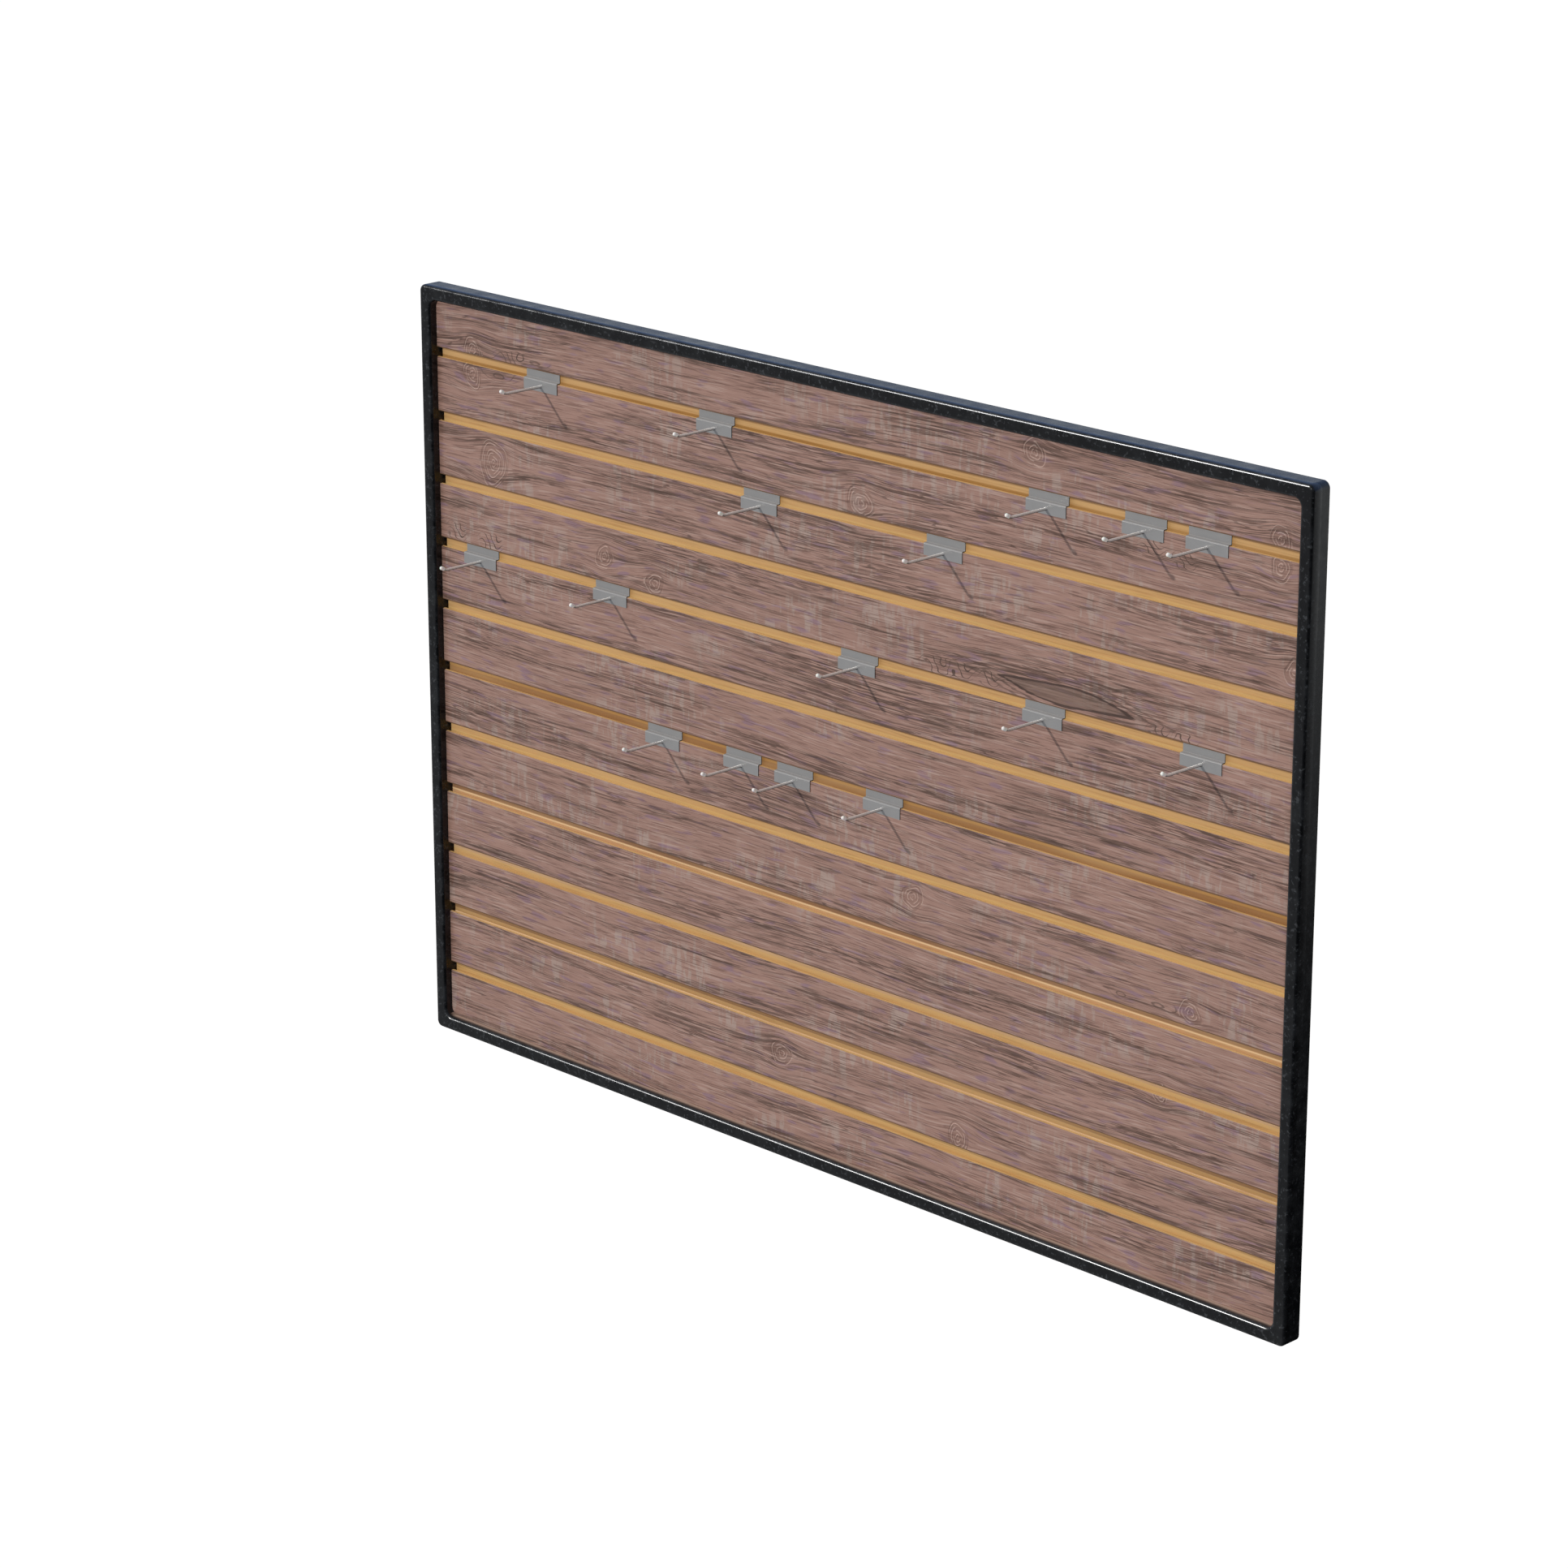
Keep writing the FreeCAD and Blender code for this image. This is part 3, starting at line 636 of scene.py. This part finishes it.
cap_radius, cap_grip = 2.2, 4.0
cap_lip, cap_mouth = 0.25, 0.6         # the cap's rounded rim, and where its straight side starts
cap_end, cap_pole = 0.998, 0.06        # the flat at the top of the dome: how far out it is and its radius


def satin_nickel(name, colour_low, colour_high, rough, metal, dull_and_shade_colour):
    """Nickel over bead-blasted steel: an even pale grey with a soft highlight. The blasting scatters much
    of the light like paint would, so it isn't all metal. A point attribute dulls a corner with a rougher
    finish, and on an underside it lays painted shade."""
    made, tree = new_material(name)
    place = add(tree, "TexCoord").outputs["Object"]
    blast = add(tree, "TexNoise", {"Vector": place, "Scale": 1400.0, "Detail": 2.0}).outputs["Fac"]
    smear = add(tree, "TexNoise", {"Vector": place, "Scale": 70.0, "Detail": 3.0}).outputs["Fac"]
    colour = add(tree, "Mix", {0: smear, 6: linear(colour_low), 7: linear(colour_high)}, data_type="RGBA")
    gloss = add(tree, "MapRange", {"Value": smear, "From Min": 0.3, "From Max": 0.7,
                                   "To Min": rough - 0.05, "To Max": rough + 0.05})
    recess = add(tree, "Attribute", attribute_name="recess").outputs["Fac"]
    colour = add(tree, "Mix", {0: recess, 6: colour.outputs[2], 7: linear(dull_and_shade_colour)}, data_type="RGBA")
    dull = add(tree, "Mix", {0: recess, 2: gloss.outputs[0], 3: 0.9}, data_type="FLOAT")
    bump = add(tree, "Bump", {"Height": blast, "Strength": 0.10, "Distance": 0.0001})
    finish_material(tree, add(tree, "BsdfPrincipled", {"Base Color": colour.outputs[2], "Metallic": metal,
                                                       "Roughness": dull.outputs[0],
                                                       "Normal": bump.outputs[0]}))
    return made


def sheared_steel_and_shade():
    """Bare steel where the plate was cut to length, half matt; made nearly black, it is also painted shade
    on the plate's ends.
    """
    made, tree = new_material("sheared_steel_edge")
    finish_material(tree, add(tree, "BsdfPrincipled", {"Base Color": linear("#1d1d1e"), "Metallic": 0.6,
                                                       "Roughness": 0.5}))
    return made


def white_vinyl():
    """Dipped vinyl: a thick soft white skin, slightly glossy, a little uneven where it ran."""
    made, tree = new_material("dipped_white_vinyl")
    place = add(tree, "TexCoord").outputs["Object"]
    runs = add(tree, "TexNoise", {"Vector": place, "Scale": 500.0, "Detail": 2.0}).outputs["Fac"]
    colour = add(tree, "Mix", {0: runs, 6: linear("#f1f0ec"), 7: linear("#fbfbf9")}, data_type="RGBA")
    bump = add(tree, "Bump", {"Height": runs, "Strength": 0.15, "Distance": 0.0003})
    finish_material(tree, add(tree, "BsdfPrincipled",
                              {"Base Color": colour.outputs[2], "Roughness": 0.38, "IOR": 1.5,
                                                       "Subsurface Weight": 0.15, "Subsurface Scale": 0.002,
                                                       "Normal": bump.outputs[0]}))
    return made


def plate_outline(front, back, thickness, foot, step, top):
    """The plate's edge seen from its end, (depth, height) from the groove's centre. It rises in front of the
    lower slat, turns back through the groove over two quarter bends, and rises again behind the upper lip."""
    quarter = np.linspace(0, math.pi / 2, bend_steps)
    outside = bend_inside + thickness
    y, z = [front, front], [foot, step + thickness - outside]
    centre = (front + outside, step + thickness - outside)
    y += list(centre[0] - outside * np.cos(quarter[1:]))
    z += list(centre[1] + outside * np.sin(quarter[1:]))
    centre = (back - bend_inside, step + thickness + bend_inside)
    y += list(centre[0] + bend_inside * np.sin(quarter))
    z += list(centre[1] - bend_inside * np.cos(quarter))
    y += [back, back, back + thickness]
    z += [step + thickness + bend_inside + tongue_rise, top, top]
    centre = (back - bend_inside, step + outside)
    y += list(centre[0] + outside * np.cos(quarter))
    z += list(centre[1] - outside * np.sin(quarter))
    centre = (front + outside, step - bend_inside)
    y += list(centre[0] - bend_inside * np.sin(quarter))
    z += list(centre[1] + bend_inside * np.cos(quarter))
    y += [front + thickness]
    z += [foot]
    return np.array(y), np.array(z)


def prong_line(front, height):
    """The prong's centre line in (depth, height): a straight run, an arc that turns it up, a straight tip.
    Returns the points, the direction at each and the distance run."""
    run = np.concatenate([[-0.2, 0.0, 0.2, 0.5, 0.9, 1.5], np.linspace(3, wire_straight, 12),
                          wire_straight + wire_bend * wire_turn * np.linspace(0, 1, 14)[1:],
                          [wire_straight + wire_bend * wire_turn + wire_tip]])
    turned = np.clip((run - wire_straight) / wire_bend, 0, wire_turn)
    slope = wire_rise + turned
    straight = np.minimum(run, wire_straight)
    after = np.maximum(run - wire_straight - wire_bend * wire_turn, 0)
    y = front - straight * math.cos(wire_rise) - after * np.cos(slope)
    z = height + straight * math.sin(wire_rise) + after * np.sin(slope)
    y -= wire_bend * (np.sin(slope) - math.sin(wire_rise))
    z += wire_bend * (math.cos(wire_rise) - np.cos(slope))
    return y, z, slope, run


def tube_rings(x, y, z, slope, radius, points=20):
    """Circles of the given radii about a line in the plane X = x, each square to the line's slope."""
    around = np.linspace(0, 2 * math.pi, points, endpoint=False)[None, :]
    lift = radius[:, None] * np.sin(around)
    return np.stack([x + radius[:, None] * np.cos(around), y[:, None] + lift * np.sin(slope)[:, None],
                     z[:, None] + lift * np.cos(slope)[:, None]], -1)


plate_steel = satin_nickel("satin_nickel_plate", "#a3a3a4", "#a8a8a9", 0.36, 0.45, "#a9a9ab")
# Painted shade: the prong's underside is darkened towards #574c47
wire_steel = satin_nickel("satin_nickel_wire", "#f2f1f0", "#f8f7f6", 0.26, 0.35, "#574c47")
cut_steel_and_shade = sheared_steel_and_shade()
vinyl = white_vinyl()
for node in sorted(n for n in frame["nodes"] if n.startswith("hook_")):
    cap_node, body = node.replace("hook", "tip_cap"), node + "_body"
    low, high = (np.array(corner) * 1000 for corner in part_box(node))
    centre_x, centre_z = (low[0] + high[0]) / 2, high[2] - plate_top
    plate_front, tongue_front = high[1] - plate_depth, high[1] - plate_thickness
    y, z = plate_outline(plate_front, tongue_front, plate_thickness, low[2] - centre_z, plate_step, plate_top)
    x = np.array([low[0], high[0]])
    outline = np.stack([np.zeros_like(y), y, z + centre_z], -1)
    rings = outline[None] + np.array([[[v, 0, 0]] for v in x])
    mesh = lofted(node + "_plate", rings)
    mesh.materials.append(plate_steel)
    mesh.materials.append(cut_steel_and_shade)
    mesh.polygons[-2].material_index = mesh.polygons[-1].material_index = 1
    corner = (y > plate_front + recess_behind) & (np.abs(z - recess_height) < recess_half)
    attribute(mesh, "recess", np.tile(corner, len(x)))
    object_of(node + "_plate", mesh, body, [node])

    y, z, slope, run = prong_line(plate_front, centre_z + wire_root)
    radius = wire_radius + weld_flare * np.exp(-np.clip(run, 0, None) / weld_reach)
    rings = tube_rings(centre_x, y, z, slope, radius)[::-1]
    mesh = lofted(node + "_prong", rings)
    shaded = np.clip((z[::-1][:, None] - rings[..., 2]) / wire_radius + shade_from, 0, 1)
    attribute(mesh, "recess", shaded)
    mesh.materials.append(wire_steel)
    smooth_sides(mesh)
    object_of(node + "_prong", mesh, body, [])

    back = np.concatenate([[cap_grip, cap_grip, cap_grip - cap_lip], np.linspace(cap_grip - cap_mouth, 0, 4)])
    cap_r = np.array([wire_radius, cap_radius - cap_lip, cap_radius, *[cap_radius] * 4])
    dome = np.linspace(0, math.pi / 2, 9)[1:-1]
    along = np.concatenate([-back, cap_radius * np.sin(dome), [cap_radius * cap_end]])
    cap_r = np.concatenate([cap_r, cap_radius * np.cos(dome), [cap_radius * cap_pole]])
    end_y, end_z = y[-1] - along * math.cos(slope[-1]), z[-1] + along * math.sin(slope[-1])
    rings = tube_rings(centre_x, end_y, end_z, np.full_like(along, slope[-1]), cap_r)[::-1]
    mesh = lofted(cap_node + "_skin", rings)
    mesh.materials.append(vinyl)
    smooth_sides(mesh)
    object_of(cap_node + "_skin", mesh, body, [cap_node])

# ---- Studio -------------------------------------------------------------------------------------
# A pale floor far below, an even soft light all round, one sun high on the left, and a lamp. Only the
# prongs and their caps cast the sun's shadows, the lamp lights only the frame, and reflections see a painted
# room.
camera_place = (3.4628, -3.5803, 1.6259)
camera_down, camera_turn = 18.12, 44.783
camera_lens = 109.23
sun_travel = (0.478, 0.711, -0.516)
sun_strength, sun_size = 0.633, 1.6
soft_strength = 0.55
# What the gloss reflects behind the panel, from straight down to straight up: (height of the direction,
# colour), and the wall in front of it, which is dark to the right
sky_bands = [(-1.0, "#101214"), (-0.40, "#191b1e"), (-0.365, "#242629"), (-0.33, "#464749"),
             (-0.29, "#767779"),
             (-0.255, "#adafb0"), (0.0, "#b4bdc8"), (0.22, "#718ab6"), (0.50, "#8ba6d6")]
wall_reflected, dark_corner = "#93969a", "#26282b"
wall_blend, corner_blend = 0.25, 0.35  # half the width of the change from front to back and from left to right
# The lamp, lower than the sun: the way its light travels, its strength and its size in degrees
lamp_travel, lamp_strength, lamp_size = (0.60, 0.69, -0.41), 0.65, 12.0

camera = bpy.data.objects.new("camera", bpy.data.cameras.new("camera"))
camera.location = camera_place
camera.rotation_euler = (math.radians(90 - camera_down), 0, math.radians(camera_turn))
camera.data.lens = camera_lens
camera.data.clip_end = 100
bpy.context.scene.collection.objects.link(camera)
bpy.context.scene.camera = camera
bpy.context.scene.view_settings.view_transform = "Standard"


def sun_of(name, strength, size, travel, colour):
    """A distant lamp whose light travels one way: the size is the angle that the lamp fills."""
    light = bpy.data.objects.new(name, bpy.data.lights.new(name, "SUN"))
    light.data.energy = strength * math.pi
    light.data.angle = math.radians(size)
    light.data.color = linear(colour)[:3]
    towards = np.array(travel) / np.linalg.norm(travel)
    light.rotation_euler = (math.acos(-towards[2]), 0, math.atan2(towards[0], -towards[1]) + math.pi)
    bpy.context.scene.collection.objects.link(light)
    return light


def pieces_ending(name, endings):
    """A collection of the pieces whose names end in one of these."""
    chosen = bpy.data.collections.new(name)
    for piece in bpy.data.objects:
        if piece.name.endswith(endings):
            chosen.objects.link(piece)
    return chosen


sun = sun_of("sun", sun_strength, sun_size, sun_travel, "#fffaf2")
sun.light_linking.blocker_collection = pieces_ending("sun_blockers", ("_prong", "_skin"))
lamp = sun_of("lamp", lamp_strength, lamp_size, lamp_travel, "#ffffff")
lamp.light_linking.receiver_collection = pieces_ending("lamp_receivers", ("_enamelled",))

world = bpy.data.worlds.new("sky")
world.use_nodes = True
world.node_tree.nodes.clear()
tree = world.node_tree
direction = add(tree, "SeparateXYZ", {0: add(tree, "TexCoord").outputs["Generated"]}).outputs
sky = linear(sky_bands[0][1])
for (start, _), (end, paint) in zip(sky_bands, sky_bands[1:]):
    share = add(tree, "MapRange", {"Value": direction["Z"], "From Min": start, "From Max": end}).outputs[0]
    sky = add(tree, "Mix", {0: share, 6: sky, 7: linear(paint)}, data_type="RGBA").outputs[2]
behind = add(tree, "MapRange", {"Value": direction["Y"], "From Min": -wall_blend,
                                "From Max": wall_blend}).outputs[0]
right = add(tree, "MapRange", {"Value": direction["X"], "From Min": -corner_blend,
                               "From Max": corner_blend}).outputs[0]
wall = add(tree, "Mix", {0: right, 6: linear(wall_reflected), 7: linear(dark_corner)},
           data_type="RGBA").outputs[2]
sky = add(tree, "Mix", {0: behind, 6: wall, 7: sky}, data_type="RGBA").outputs[2]
mirrored = add(tree, "Background", {"Color": sky, "Strength": 1.0})
soft = add(tree, "Background", {"Color": linear("#fbfcff"), "Strength": soft_strength})
seen = add(tree, "Background", {"Color": (1, 1, 1, 1), "Strength": 1.0})
ray = add(tree, "LightPath").outputs
lit = add(tree, "MixShader", {0: ray["Is Glossy Ray"], 1: soft.outputs[0], 2: mirrored.outputs[0]})
mixed = add(tree, "MixShader", {0: ray["Is Camera Ray"], 1: lit.outputs[0], 2: seen.outputs[0]})
add(tree, "OutputWorld", {"Surface": mixed.outputs[0]})
bpy.context.scene.world = world

floor_half, floor_height = 40.0, -3.0
floor_mesh = bpy.data.meshes.new("floor")
corners = [(-floor_half, -floor_half), (floor_half, -floor_half), (floor_half, floor_half),
           (-floor_half, floor_half)]
floor_mesh.from_pydata([(x, y, floor_height) for x, y in corners], [], [(0, 1, 2, 3)])
floor = bpy.data.objects.new("floor", floor_mesh)
bpy.context.scene.collection.objects.link(floor)
floor.visible_glossy = False
floor.visible_diffuse = False
made, tree = new_material("pale_floor")
finish_material(tree, add(tree, "BsdfPrincipled", {"Base Color": (0.95, 0.95, 0.95, 1), "Roughness": 0.9,
                                                   "Emission Color": (1, 1, 1, 1), "Emission Strength": 0.25}))
floor_mesh.materials.append(made)
